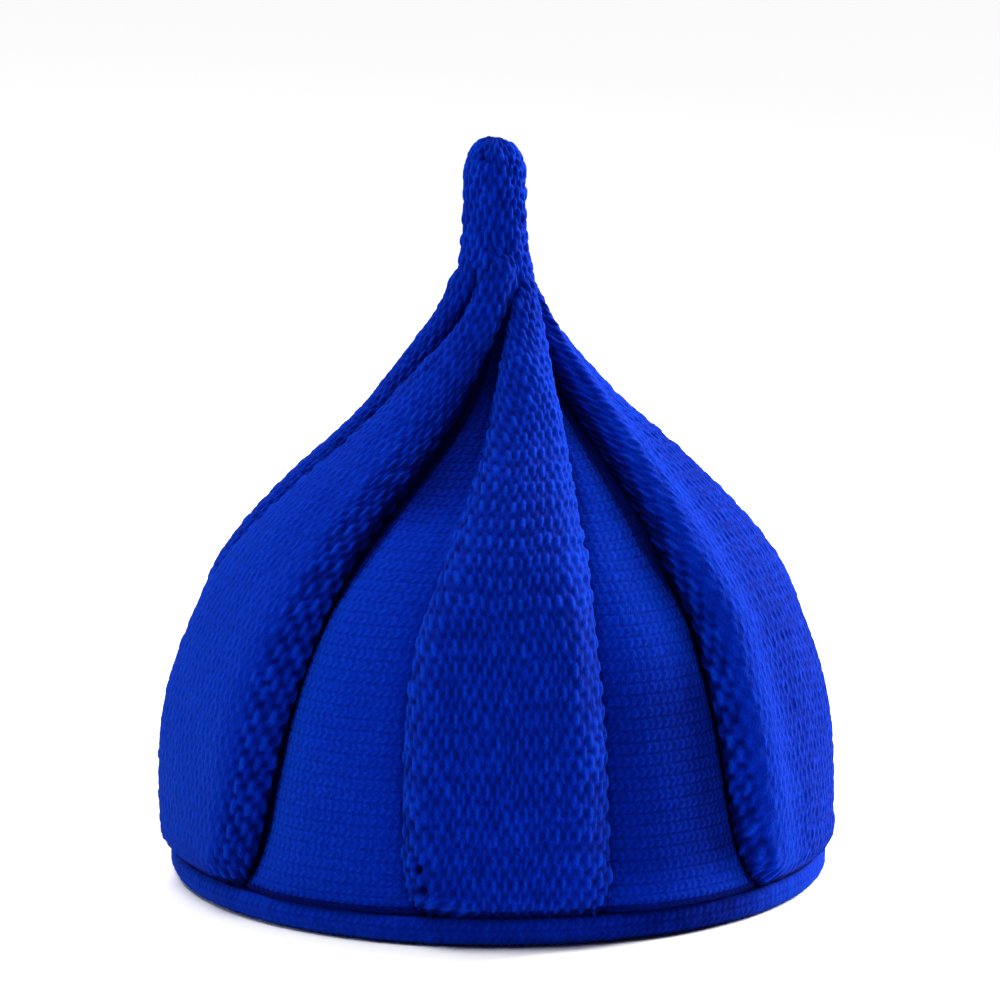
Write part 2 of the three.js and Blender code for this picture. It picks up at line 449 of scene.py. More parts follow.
@dataclass(frozen=True)
class MossStitch:
    """The panels' relief: long upright bumps in columns, each column half a bump off its neighbours.

    The columns are wider by an edge column at the panel's right side. Neighbouring columns lean and bow
    opposite ways and stand unevenly high. The ends say where a bump starts to sink and where it is gone, as
    shares of its length, and the varied values how much the bumps differ.
    """

    column: float = 1.39 * MM
    length: float = 6.65 * MM
    height: float = 0.66 * MM
    edge_column: float = 0.85 * MM
    lean: float = 0.11
    bend: float = 6.0
    uneven: float = 0.14
    stout: float = 0.46
    ends: Span = (0.12, 0.52)
    varied_place: float = 0.09
    varied_stout: float = 0.2
    varied_height: float = 0.3
    gain: float = 0.95
    most: float = 1.3

    def relief(
        self,
        column: Array,
        along: Array,
        seed: float,
        slope: Array | float = 0.0,
        banding: Array | float = 0.0,
    ) -> Array:
        """Work out how high the yarn stands.

        Args:
            column: the place across, counted in columns.
            along: the place along, counted in bumps.
            seed: picks the bumps' small differences.
            slope: how far each bump leans across its column, in columns for each bump's length.
            banding: how much lower still the bumps stand in every second column.

        Returns:
            Shares from 0 in the pits to about 1 on the bumps.
        """
        total = np.zeros(np.broadcast(column, along).shape)
        nearest = np.round(column)
        for step in (-2.0, -1.0, 0.0, 1.0, 2.0):
            home = nearest + step
            stagger = 0.5 * np.mod(home, 2.0)
            number = np.round(along - stagger)
            wander = self.varied_place * hashed(home, number, seed)
            off = along - stagger - number - wander
            side = np.where(np.mod(home, 2.0) > 0.5, 1.0, -1.0)
            across = column - home - slope * off - side * self.lean * (0.5 - self.bend * off**2)
            stout = self.stout * (1.0 + self.varied_stout * hashed(home, number, seed + 1.0))
            tall = 1.0 + self.varied_height * hashed(home, number, seed + 2.0)
            tall = tall - side * (self.uneven + banding)
            body = fade(np.abs(off), *self.ends)
            total = total + tall * body * np.exp(-((across / stout) ** 2))
        return np.clip(total * self.gain, 0.0, self.most)


@dataclass(frozen=True)
class PlainStitch:
    """The gores' relief: rows of small V stitches lying on their sides.

    The least values are the yarn's height between two legs of a stitch and between two wales.
    """

    course: float = 2.3 * MM
    wale: float = 3.55 * MM
    height: float = 0.55 * MM
    slant: float = 0.62
    leg: float = 0.3
    least_leg: float = 0.35
    least_wale: float = 0.45
    arching: float = 0.7
    varied_place: float = 0.06
    varied_height: float = 0.16

    def relief(self, course: Array, wale: Array, seed: float) -> Array:
        """Work out how high the yarn stands.

        Args:
            course: the place across, counted in courses.
            wale: the place along, counted in wales.
            seed: picks the stitches' small differences.

        Returns:
            Shares from 0 between the wales to about 1 on the legs.
        """
        number = np.floor(wale)
        off = wale - number - 0.5
        lean = course + self.slant * 2.0 * np.abs(off)
        leg = np.round(lean)
        which = number * 2.0 + (off > 0.0)
        wander = self.varied_place * hashed(leg, which, seed)
        tall = 1.0 + self.varied_height * hashed(leg, which, seed + 1.0)
        body = np.exp(-(((lean - leg - wander) / self.leg) ** 2))
        arch = np.sin(np.clip(np.abs(off) * 2.0, 0.0, 1.0) * math.pi) ** self.arching
        return tall * at_least(self.least_leg, body) * at_least(self.least_wale, arch)


# --- Knitted surfaces ---


@dataclass
class KnitSurface:
    """A grid of points on a piece's smooth form, with the relief that its stitches add.

    Points nearer than the weld distance become one, and the gaps this leaves are filled where they have no
    more edges than the small hole. The depth is each point's painted shade, from the stitches' crests to
    their pits and the creases, and the back's depth is that of the inside, whose points are drawn together in
    blocks that are so many points wide.
    """

    points: Array
    normals: Array
    relief: Array
    depth: Array
    across: Array
    along: Array
    weld: float = 0.03 * MM
    small_hole: int = 12
    back_depth: float = 0.5
    block: int = 8

    def body(self, name: str, thickness: Array | None) -> bpy.types.Object:
        """Make the closed body of the piece.

        The grid is made by the grid operator and given its thickness by extruding all its faces. Behind the
        stitches the back needs no detail, so its inner points are drawn together in blocks and welded.

        Args:
            name: the object's name.
            thickness: the fabric's thickness in each row, or None where the grid closes on itself.

        Returns:
            The new object, linked to the scene.
        """
        rows, columns = self.relief.shape
        bm = bmesh.new()
        bmesh.ops.create_grid(bm, x_segments=columns - 1, y_segments=rows - 1, size=1.0)
        home = bm.verts.layers.int.new("home")
        back = bm.verts.layers.int.new("back")
        for number, vert in enumerate(bm.verts):
            vert[home] = number
        bm.loops.layers.uv.new("fabric")
        if thickness is not None:
            for part in bmesh.ops.extrude_face_region(bm, geom=bm.faces[:])["geom"]:
                if isinstance(part, bmesh.types.BMVert):
                    part[back] = 1
        mesh = bpy.data.meshes.new(name)
        bm.to_mesh(mesh)
        bm.free()
        self.place(mesh, thickness)
        self.close(mesh)
        return add_object(name, mesh)

    def place(self, mesh: bpy.types.Mesh, thickness: Array | None) -> None:
        """Move the grid's points to their places and write the fabric's map and painted stitch shade.

        Args:
            mesh: the grid's mesh, which still has its home and back layers.
            thickness: the fabric's thickness in each row, or None.
        """
        home, back = np.zeros((2, len(mesh.vertices)), np.int32)
        for name, values in (("home", home), ("back", back)):
            mesh.attributes[name].data.foreach_get("value", values)
            mesh.attributes.remove(mesh.attributes[name])
        front = self.points + self.normals * self.relief[..., None]
        places = front.reshape(-1, 3)[home]
        depth = self.depth.reshape(-1)[home]
        if thickness is not None:
            behind = self.behind(thickness).reshape(-1, 3)[home]
            places = np.where(back[:, None] == 1, behind, places)
            depth = np.where(back == 1, self.back_depth, depth)
        mesh.vertices.foreach_set("co", places.astype(np.float32).ravel())
        layer = mesh.attributes.new("painted_stitch_shade", "FLOAT", "POINT")
        layer.data.foreach_set("value", depth.astype(np.float32))
        corner = np.zeros(len(mesh.loops), np.int32)
        mesh.loops.foreach_get("vertex_index", corner)
        flat = np.stack((self.across, self.along), axis=-1).reshape(-1, 2)[home[corner]]
        mesh.uv_layers["fabric"].data.foreach_set("uv", flat.astype(np.float32).ravel())

    def behind(self, thickness: Array) -> Array:
        """Work out the back of the fabric, drawn together in blocks away from its edges.

        Args:
            thickness: the fabric's thickness in each row.

        Returns:
            Points in metres.
        """
        rows, columns = self.relief.shape
        inner = self.points - self.normals * thickness[..., None]
        row, column = np.mgrid[0:rows, 0:columns]
        edge = (row == 0) | (row == rows - 1) | (column == 0) | (column == columns - 1)
        block_row = np.clip((row + self.block // 2) // self.block * self.block, 0, rows - 1)
        block_column = np.clip((column + self.block // 2) // self.block * self.block, 0, columns - 1)
        block_row = np.where(edge, row, block_row)
        block_column = np.where(edge, column, block_column)
        return inner[block_row, block_column]

    @staticmethod
    def is_flap(face: bmesh.types.BMFace) -> bool:
        """Say whether a face hangs on the body by an edge that more than two faces share."""
        shared = [len(edge.link_faces) for edge in face.edges]
        return min(shared) == 1 and max(shared) > 2

    def close(self, mesh: bpy.types.Mesh) -> None:
        """Weld doubled points, mend what that leaves, turn the faces outwards and shade them smooth.

        Args:
            mesh: the piece's mesh.
        """
        bm = bmesh.new()
        bm.from_mesh(mesh)
        bmesh.ops.remove_doubles(bm, verts=bm.verts[:], dist=self.weld)
        flaps = [face for face in bm.faces if self.is_flap(face)]
        bmesh.ops.delete(bm, geom=flaps, context="FACES")
        pinched = [edge for edge in bm.edges if len(edge.link_faces) > 2]
        bmesh.ops.collapse(bm, edges=pinched, uvs=True)
        gaps = [edge for edge in bm.edges if edge.is_boundary]
        bmesh.ops.holes_fill(bm, edges=gaps, sides=self.small_hole)
        bmesh.ops.recalc_face_normals(bm, faces=bm.faces[:])
        if bm.calc_volume(signed=True) < 0.0:
            bmesh.ops.reverse_faces(bm, faces=bm.faces[:])
        loose = sum(len(edge.link_faces) != 2 for edge in bm.edges)
        LOG.info("%s: %d edges that two faces don't share", mesh.name, loose)
        bm.to_mesh(mesh)
        bm.free()
        mesh.shade_smooth()


# --- Materials ---


def linear(colour: str) -> tuple[float, float, float, float]:
    """Turn an sRGB hex colour into linear values.

    Args:
        colour: six hex digits.

    Returns:
        Red, green, blue and an alpha of 1.
    """
    parts = [int(colour[i : i + 2], 16) / 255.0 for i in (0, 2, 4)]
    red, green, blue = (
        part / 12.92 if part <= 0.04045 else ((part + 0.055) / 1.055) ** 2.4 for part in parts
    )
    return red, green, blue, 1.0


def blank_material(name: str) -> bpy.types.Material:
    """Make a material with an empty node tree.

    Args:
        name: what the real material is and how it is made.

    Returns:
        The new material.
    """
    made = bpy.data.materials.new(name)
    made.use_nodes = True
    made.node_tree.nodes.clear()
    return made


def add_node(
    material: bpy.types.Material,
    kind: str,
    settings: dict[str, object] | None = None,
    links: dict[str | int, bpy.types.NodeSocket] | None = None,
) -> bpy.types.Node:
    """Add a node with its settings and links.

    Args:
        material: the material whose tree takes the node.
        kind: the node's type name.
        settings: values by input name, or by node property where there is no such input.
        links: output sockets to link, by input name or number.

    Returns:
        The new node.
    """
    tree = material.node_tree
    node = tree.nodes.new(kind)
    for name, value in (settings or {}).items():
        if isinstance(name, str) and hasattr(node, name):
            setattr(node, name, value)
        else:
            node.inputs[name].default_value = value
    for name, socket in (links or {}).items():
        tree.links.new(socket, node.inputs[name])
    return node


def graded(
    material: bpy.types.Material, value: bpy.types.NodeSocket, given: Span, wanted: Span
) -> bpy.types.NodeSocket:
    """Map the given range of an output socket's values onto the wanted one, and return the new socket."""
    settings = {"From Min": given[0], "From Max": given[1], "To Min": wanted[0], "To Max": wanted[1]}
    return add_node(material, "ShaderNodeMapRange", settings, {"Value": value}).outputs["Result"]


@dataclass(frozen=True)
class Streaks:
    """Noise drawn out across the yarn, and how far it darkens and lightens the colour.

    The size is in millimetres, and the stretch is the pattern's scale along the fabric as a share of that
    across it.
    """

    size: float
    stretch: float
    roughness: float
    tones: Span
    given: Span = (0.3, 0.7)
    detail: float = 3.0


@dataclass(frozen=True)
class AcrylicYarn:
    """Brushed acrylic hand-knitting yarn: matt, with soft fibres that catch light at the edges of a form.

    The colours are painted light and shade: they run from the stitches' crests, painted lighter and greener
    as a highlight, to the painted shade between them and in the creases. The plies are drawn 1.1 mm across
    and the fibres 0.3 mm across, coarser than real ones, so that they show.
    """

    name: str
    crest: str = "042BAE"
    body: str = "021E9E"
    middle: str = "021787"
    pit: str = "020E60"
    shade: str = "02021E"
    glint: str = "1C90FF"
    sheen: str = "2CACFF"
    fibres: Streaks = Streaks(0.3, 0.28, 0.6, (0.62, 1.38))
    plies: Streaks = Streaks(1.1, 0.6, 0.65, (0.76, 1.24))
    fuzz: float = 0.11
    fuzz_full: float = 0.7
    fibre_depth: float = 0.35 * MM

    def noise(self, material: bpy.types.Material, streaks: Streaks) -> bpy.types.NodeSocket:
        """Draw streaks in the fabric's own map.

        Args:
            material: the material whose tree takes the nodes.
            streaks: the pattern.

        Returns:
            The output socket.
        """
        size = streaks.size * MM
        uv = add_node(material, "ShaderNodeUVMap", {"uv_map": "fabric"}).outputs["UV"]
        scale = {"Scale": (1.0 / size, streaks.stretch / size, 1.0)}
        where = add_node(material, "ShaderNodeMapping", scale, {"Vector": uv}).outputs["Vector"]
        look = {"Scale": 1.0, "Detail": streaks.detail, "Roughness": streaks.roughness}
        return add_node(material, "ShaderNodeTexNoise", look, {"Vector": where}).outputs["Fac"]

    def material(self) -> bpy.types.Material:
        """Make the material.

        Returns:
            The finished material.
        """
        made = blank_material(self.name)
        depth = add_node(made, "ShaderNodeAttribute", {"attribute_name": "painted_stitch_shade"}).outputs["Fac"]
        ramp = add_node(
            made, "ShaderNodeValToRGB", None, {"Fac": graded(made, depth, (-1.0, 1.0), (0.0, 1.0))}
        )
        ramp.color_ramp.elements[0].color = linear(self.shade)
        ramp.color_ramp.elements[1].color = linear(self.crest)
        for position, colour in ((0.5, self.pit), (0.68, self.middle), (0.84, self.body)):
            ramp.color_ramp.elements.new(position).color = linear(colour)
        fibres, plies = self.noise(made, self.fibres), self.noise(made, self.plies)
        strand = graded(made, fibres, self.fibres.given, self.fibres.tones)
        patch = graded(made, plies, self.plies.given, self.plies.tones)
        both = add_node(made, "ShaderNodeMath", {"operation": "MULTIPLY"}, {0: strand, 1: patch})
        colour = add_node(
            made,
            "ShaderNodeVectorMath",
            {"operation": "SCALE"},
            {0: ramp.outputs["Color"], "Scale": both.outputs["Value"]},
        )
        bump = add_node(
            made, "ShaderNodeBump", {"Strength": 0.9, "Distance": self.fibre_depth}, {"Height": fibres}
        )
        # The sheen's weight follows the painted shade, so the fuzz's sheen fades in the pits and creases.
        shader = add_node(
            made,
            "ShaderNodeBsdfPrincipled",
            {
                "Roughness": 0.9,
                "IOR": 1.49,
                "Specular IOR Level": 0.04,
                "Specular Tint": linear(self.glint),
                "Sheen Roughness": 0.6,
                "Sheen Tint": linear(self.sheen),
            },
            {
                "Base Color": colour.outputs["Vector"],
                "Sheen Weight": graded(made, depth, (0.0, self.fuzz_full), (0.0, self.fuzz)),
                "Normal": bump.outputs["Normal"],
            },
        )
        add_node(made, "ShaderNodeOutputMaterial", None, {"Surface": shader.outputs["BSDF"]})
        return made


@dataclass(frozen=True)
class PaintedFloor:
    """A matt painted studio floor, pale and plain."""

    name: str = "painted_studio_floor"
    colour: str = "FCFCFC"

    def material(self) -> bpy.types.Material:
        """Make the material.

        Returns:
            The finished material.
        """
        made = blank_material(self.name)
        look = {"Base Color": linear(self.colour), "Roughness": 0.8}
        shader = add_node(made, "ShaderNodeBsdfPrincipled", look)
        add_node(made, "ShaderNodeOutputMaterial", None, {"Surface": shader.outputs["BSDF"]})
        return made


# --- Sub-assemblies ---


@dataclass(frozen=True)
class Eyelet:
    """A small hole that a turned row leaves in a panel: a turn in degrees, the rest in millimetres."""

    turn: float
    height: float
    radius: float


EYELETS = (Eyelet(-13.0, 23.2, 1.35), Eyelet(-12.2, 17.2, 1.5))


@dataclass
class WedgeNet:
    """A wedge's level curves, one row for each height, which is in millimetres.

    Arc lengths are in metres from the panel's left foot, to its right foot and to the gore's right edge, the
    end. The tip is the share of its width that each row of the panel keeps.
    """

    index: int
    heights: Array
    tip: Array
    curves: Array
    arcs: Array
    foot: Array
    end: Array

    @property
    def panel(self) -> Panel:
        """Give the wedge's own panel."""
        return PANELS[self.index]

    def normals(self) -> Array:
        """Find the outward directions.

        Returns:
            A unit vector for each step of each row.
        """
        normal = np.cross(np.gradient(self.curves, axis=1), np.gradient(self.curves, axis=0))
        length = np.linalg.norm(normal, axis=2, keepdims=True)
        return normal / np.maximum(length, TINY)

    def read(self, values: Array, where: Array) -> Array:
        """Read values at arc lengths along each row's level curve.

        Args:
            values: a vector at each step of each row.
            where: the arc lengths to read at, for each row.

        Returns:
            A vector for each arc length.
        """
        found = np.empty(where.shape + (3,))
        for row in range(len(where)):
            for axis in range(3):
                found[row, :, axis] = np.interp(where[row], self.arcs[row], values[row, :, axis])
        return found


@dataclass(frozen=True)
class PanelFace:
    """How a panel's stitches fade, flatten or stand out over its face and its walls, in relief and painted
    shade.

    Distances from the feet are in metres, heights in millimetres, and the rest are shares of the relief.
    """

    middle: float = 0.55
    wall: float = 13.0 * MM
    smooth_wall: float = 10.0 * MM
    wall_top: float = 0.75
    wall_keeps: float = 1.35
    high: Span = (105.0, 150.0)
    high_keeps: float = 0.6
    high_evens: float = 0.6
    smooth_lift: float = 0.34
    past_ridge: Span = (22.0 * MM, 38.0 * MM)
    sink_and_shade_past_ridge: float = 0.3
    ridge_keeps: float = 0.2
    sunny_side: Span = (8.0 * MM, 24.0 * MM)
    sunny_heights: Band = Band(88.0, 108.0, 152.0, 170.0)
    sunny_lift: float = 0.5
    sunk_feet: Span = (0.3 * MM, 3.0 * MM)
    least_tip: float = 0.35

    def shaped(self, net: WedgeNet, arc: Array, share: Array) -> Array:
        """Shape a panel's relief over its face.

        Args:
            net: the wedge's level curves.
            arc: each point's arc length.
            share: the moss stitch's shares.

        Returns:
            The shaped shares.
        """
        grain = net.panel.grain
        ridged = net.panel.fold is Fold.RIDGE
        near = np.minimum(arc, net.foot - arc)
        reach = self.wall if ridged else self.wall + self.smooth_wall * (1.0 - grain)
        wall = fade(near, self.wall_top * reach, reach)
        high = smoothstep(net.heights, *self.high)
        keep = grain + self.high_keeps * (1.0 - grain) * high
        keep = keep + (self.wall_keeps - keep) * wall * (1.0 - self.high_evens * high)
        level = self.middle + self.smooth_lift * (1.0 - grain) * (1.0 - wall)
        if ridged:
            # Past the ridge the face sinks a little and is painted darker as shade, where it turns from the
            # light.
            past = smoothstep(arc, *self.past_ridge)
            level = level - self.sink_and_shade_past_ridge * past
            keep = keep + self.ridge_keeps * past
        if net.index == 0:
            # The front panel alone stands prouder high up on its right, and is painted lighter there as a
            # highlight where the light catches it.
            side = fade(net.foot - arc, *self.sunny_side)
            level = level + self.sunny_lift * side * self.sunny_heights.share(net.heights)
        share = level + (share - self.middle) * keep
        return share * smoothstep(near, *self.sunk_feet) * at_least(self.least_tip, net.tip)


@dataclass(frozen=True)
class CreaseShade:
    """How dark the painted shade is in the creases and the rows above the hem, and the painted shadow on the
    gores beside them under a deep fold.

    Widths, reaches and heights are in millimetres, and a crease's depth is as its panel gives it.
    """

    full_depth: float = 1.7
    width: float = 2.0
    width_with_depth: float = 2.2
    least_width: float = 0.1
    upper: Span = (84.0, 115.0)
    upper_widens: float = 0.6
    upper_darkens: float = 0.2
    panel_room: float = 0.2
    gore_room: float = 0.6
    edge: Span = (0.25, 1.0)
    neck: Span = (178.0, 186.0)
    hem: Span = (9.2, 12.5)
    folds_over: Span = (106.0, 123.0)
    folded_depth: float = 0.85
    folded_reach: float = 30.0
    beside: float = 0.85
    beside_reach: float = 12.0
    broad: float = 0.2
    broad_with_reach: float = 15.0
    broad_full: float = 0.4
    lower: Span = (62.0, 88.0)
    above_hem: Span = (10.0, 24.0)

    def shade(self, net: WedgeNet, where: Array) -> Array:
        """Work out how dark each point's painted shade is.

        Args:
            net: the wedge's level curves.
            where: each point's arc length from the panel's left foot.

        Returns:
            Shares from 0 in the open to 1 at the bottom of a deep crease.
        """
        own, following = net.panel, PANELS[(net.index + 1) % len(PANELS)]
        upper = smoothstep(net.heights, *self.upper)
        neck = fade(net.heights, *self.neck)
        room = np.where(where < net.foot, self.panel_room * net.foot, self.gore_room * (net.end - net.foot))
        dark = np.zeros(where.shape)
        creases = ((0.0, own.left_crease), (net.foot, own.right_crease), (net.end, following.left_crease))
        for place, depth in creases:
            width = (self.width + self.width_with_depth * depth) * (1.0 + self.upper_widens * upper) * MM
            width = np.maximum(np.minimum(width, room), self.least_width * MM)
            strength = np.clip(depth / self.full_depth, 0.0, 1.0) * (1.0 + self.upper_darkens * upper)
            dark = np.maximum(dark, strength * neck * fade(np.abs(where - place) / width, *self.edge))
        beyond = np.maximum(self.folded(net, where), self.shaded(net, where))
        dark = np.maximum(dark, np.where(where > net.foot, beyond, 0.0) * neck)
        return np.clip(np.maximum(dark, fade(net.heights, *self.hem)), 0.0, 1.0)

    def folded(self, net: WedgeNet, where: Array) -> Array:
        """Work out the painted shadow that the panel to a gore's left casts on it, where the twist folds the
        panel over.

        Args:
            net: the wedge's level curves.
            where: each point's arc length.

        Returns:
            Shares for points in the gore.
        """
        deep = np.clip(net.panel.right_crease - self.folded_depth, 0.0, 1.0)
        near = np.clip(1.0 - (where - net.foot) / (self.folded_reach * MM), 0.0, 1.0)
        return deep * smoothstep(net.heights, *self.folds_over) * near

    def shaded(self, net: WedgeNet, where: Array) -> Array:
        """Work out the painted shadow that the panel to a gore's right casts on it, a narrow one and a broad
        one.

        Args:
            net: the wedge's level curves.
            where: each point's arc length.

        Returns:
            Shares for points in the gore.
        """
        following = PANELS[(net.index + 1) % len(PANELS)]
        before = net.end - where
        reach = following.shadow * MM
        narrow = self.beside * np.clip(1.0 - before / (self.beside_reach * MM), 0.0, 1.0)
        broad = self.broad * fade(before, self.broad_full * reach, reach) + self.broad_with_reach * reach
        shadow = np.maximum(narrow, broad * fade(net.heights, *self.lower))
        deep = np.clip(following.left_crease / self.full_depth, 0.0, 1.0)
        return deep * shadow * smoothstep(net.heights, *self.above_hem)


@dataclass
class Wedges:
    """The crown's six wedges, each a moss panel and the plain gore to its right.

    Heights are in millimetres, and tones are depths of painted shade from -1 to 1.
    """

    moss: MossStitch = MossStitch()
    plain: PlainStitch = PlainStitch()
    face: PanelFace = PanelFace()
    creases: CreaseShade = CreaseShade()
    column_points: int = 4
    bump_points: int = 10
    course_points: int = 4
    fabric: float = 2.6 * MM
    least_fabric: float = 0.3 * MM
    thins: float = 0.12
    upright: float = 0.15
    most_lean: float = 0.8
    upright_above: float = 22.0
    face_controls: tuple[int, int] = (5, 11)
    moss_tone: float = 0.42
    contrast: float = 0.72
    darkest: float = -0.1
    plain_tone: float = 0.3
    fuzz: float = 0.08 * MM
    fuzz_scale: float = 3.7
    sway: float = 0.7 * MM
    sways: Band = Band(10.0 * MM, 30.0 * MM, 150.0 * MM, 175.0 * MM)
    edge_columns: Span = (4.0, 12.0)
    edge_widens: Span = (90.0, 145.0)
    narrows: float = 0.1
    narrows_over: Span = (110.0, 160.0)
    left_spread: float = 6.0 * MM
    spread_over: Span = (25.0 * MM, 45.0 * MM)
    spread_run: float = 11.0 * MM
    moss_aside: Waves = ((0.2, 0.31, 0.9, 1.0), (0.14, -0.6, 0.37, 0.0))
    moss_lifted: Waves = ((0.09, 0.37, 0.0, 2.0), (0.06, 1.1, 0.5, 0.0))
    banding: float = 0.16
    banded: Band = Band(84.0, 100.0, 128.0, 150.0)
    sunk_gore: Span = (0.2 * MM, 3.0 * MM)
    eyelet_depth: float = 1.9 * MM
    eyelet_rim: Span = (0.45, 1.25)
    made: list[bpy.types.Object] = field(default_factory=list)

    def build(self) -> None:
        """Make the six wedges."""
        heights = row_heights(self.moss.length / self.bump_points)
        for index, panel in enumerate(PANELS):
            rows = np.append(heights[heights < panel.tip], panel.tip)
            surface, thickness = self.surface(self.net(index, rows))
            self.made.append(surface.body(f"crown_wedge_{index + 1}", thickness))

    def net(self, index: int, heights: Array) -> WedgeNet:
        """Draw a wedge's level curves and measure along them.

        Args:
            index: the wedge.
            heights: the rows' heights in millimetres.

        Returns:
            The wedge's net.
        """
        form = CrownForm(heights)
        curves = form.curves(index)
        steps = np.linalg.norm(np.diff(curves, axis=1), axis=2)
        arcs = np.concatenate((np.zeros((len(heights), 1)), np.cumsum(steps, axis=1)), axis=1)
        foot = (len(FOLD_SECTIONS[PANELS[index].fold]) - 1) * form.samples
        tip = form.tapered(index)[:, None]
        return WedgeNet(index, heights[:, None], tip, curves, arcs, arcs[:, foot : foot + 1], arcs[:, -1:])

    def surface(self, net: WedgeNet) -> tuple[KnitSurface, Array]:
        """Lay a wedge's grid on the crown's form, in step with its stitches.

        Args:
            net: the wedge's level curves.

        Returns:
            The surface and the fabric's thickness in each row.
        """
        column, panel_arc = self.panel_columns(net)
        course, gore_arc = self.gore_columns(net)
        where = np.concatenate((panel_arc, gore_arc), axis=1)
        points = net.read(net.curves, where)
        facing = net.read(net.normals(), where)
        facing /= np.linalg.norm(facing, axis=2, keepdims=True)
        along = np.arange(len(where))[:, None] / self.bump_points
        moss = self.moss_relief(net, column, along, panel_arc, self.slope(points[:, : column.shape[1]]))
        plain = self.plain_relief(net, course, along, gore_arc)
        # Painted shade: the creases, the rows above the hem, the gores beside deep folds and the eyelets are
        # darkened in the colour, and the eyelets are sunk as well.
        hole = self.eyelets(points) if net.index == 0 else 0.0
        dark = np.maximum(self.creases.shade(net, where), hole)
        shown = np.clip(self.moss_tone + self.contrast * (moss - 0.5), self.darkest, 1.0)
        depth = np.concatenate((shown, at_least(self.plain_tone, plain)), axis=1) - dark
        stand = np.concatenate((moss * self.moss.height, plain * self.plain.height), axis=1)
        row = np.arange(len(where))[:, None]
        fuzz = self.fuzz * hashed(row, where / MM * self.fuzz_scale, seed=21.0 + net.index)
        stand = stand + fuzz * (1.0 - dark) - self.eyelet_depth * hole
        sway = self.sway * slow_wave(turns(points), points[..., 2], seed=3.0)
        sway = sway * self.sways.share(points[..., 2])
        surface = KnitSurface(
            points=points + facing * sway[..., None],
            normals=facing,
            relief=stand,
            depth=depth,
            across=where,
            along=np.broadcast_to(along * self.moss.length, where.shape),
        )
        return surface, np.clip(self.thins * net.foot, self.least_fabric, self.fabric)

    def panel_columns(self, net: WedgeNet) -> tuple[Array, Array]:
        """Count a panel's columns from its right foot, where they are widest, to its left foot.

        Args:
            net: the wedge's level curves.

        Returns:
            Each point's place in columns and its arc length.
        """
        most = math.ceil(net.foot.max() / self.moss.column) + 1
        column = np.arange(0, most * self.column_points + 1) / self.column_points
        extra = np.cumsum(fade(column, *self.edge_columns)) / self.column_points
        narrow = 1.0 - self.narrows * smoothstep(net.heights, *self.narrows_over)
        back = column * self.moss.column * narrow
        back = back + (extra - extra[0]) * self.moss.edge_column * fade(net.heights, *self.edge_widens)
        spread = self.left_spread * smoothstep(net.foot, *self.spread_over)
        inner = net.foot - spread
        back = back + spread * smoothstep(back, inner - self.spread_run, inner)
        arc = np.clip(net.foot + self.tucked(net) - back, 0.0, net.foot)[:, ::-1]
        return np.broadcast_to(column[::-1], arc.shape), arc

    def tucked(self, net: WedgeNet) -> Array:
        """Work out how much of a panel's right side is tucked away at the hem, to keep its columns upright.

        Args:
            net: the wedge's level curves.

        Returns:
            An arc length in metres for each row.
        """
        first, last = (control * CrownForm.samples for control in self.face_controls)
        turn = turns(net.curves[:, first:last]) - math.radians(net.panel.start)
        turn = np.mod(turn + math.pi, FULL_TURN) - math.pi
        low = np.flatnonzero(net.heights < self.upright_above)
        mark = turn[low[-1], (last - first) // 2]
        marked = [np.interp(mark, turn[row], net.arcs[row, first:last]) for row in low]
        reach = net.foot[low, 0] - marked
        found = np.zeros(net.heights.shape)
        found[low, 0] = np.clip(reach[-1] - reach, 0.0, None)
        return found

    def gore_columns(self, net: WedgeNet) -> tuple[Array, Array]:
        """Count a gore's courses from its middle to both edges.

        Args:
            net: the wedge's level curves.

        Returns:
            Each point's place in courses and its arc length.
        """
        half = (net.end - net.foot) / 2.0
        most = math.ceil(half.max() / self.plain.course * self.course_points) + 1
        course = np.arange(-most, most + 1) / self.course_points
        arc = net.foot + half + np.clip(course * self.plain.course, -half, half)
        return np.broadcast_to(course, arc.shape), arc

    def moss_relief(self, net: WedgeNet, column: Array, along: Array, arc: Array, slope: Array) -> Array:
        """Work out a panel's relief.

        Args:
            net: the wedge's level curves.
            column: each point's place in columns.
            along: each row's place, counted in bumps.
            arc: each point's arc length.
            slope: how far the bumps lean across their columns.

        Returns:
            Shares of the moss stitch's height.
        """
        banding = self.banding * self.banded.share(net.heights)
        aside = column + waves(column, along, self.moss_aside, net.index)
        lifted = along + waves(column, along, self.moss_lifted, net.index)
        share = self.moss.relief(aside, lifted, seed=7.0 * net.index, slope=slope, banding=banding)
        return self.face.shaped(net, arc, share)

    def plain_relief(self, net: WedgeNet, course: Array, along: Array, arc: Array) -> Array:
        """Work out a gore's relief, which sinks away at its edges.

        Args:
            net: the wedge's level curves.
            course: each point's place in courses.
            along: each row's place, counted in bumps, which are two wales long.
            arc: each point's arc length.

        Returns:
            Shares of the plain stitch's height.
        """
        share = self.plain.relief(course, along * 2.0, seed=5.0 * net.index + 40.0)
        return share * smoothstep(np.minimum(arc - net.foot, net.end - arc), *self.sunk_gore)

    def eyelets(self, points: Array) -> Array:
        """Work out how far into an eyelet each point lies.

        Args:
            points: the wedge's grid of points.

        Returns:
            Shares from 0 outside to 1 in the middle of a hole.
        """
        hole = np.zeros(points.shape[:2])
        for eyelet in EYELETS:
            aside = (turns(points) - math.radians(eyelet.turn)) * np.hypot(points[..., 0], points[..., 1])
            away = np.hypot(aside, points[..., 2] - eyelet.height * MM) / (eyelet.radius * MM)
            hole = np.maximum(hole, fade(away, *self.eyelet_rim))
        return hole

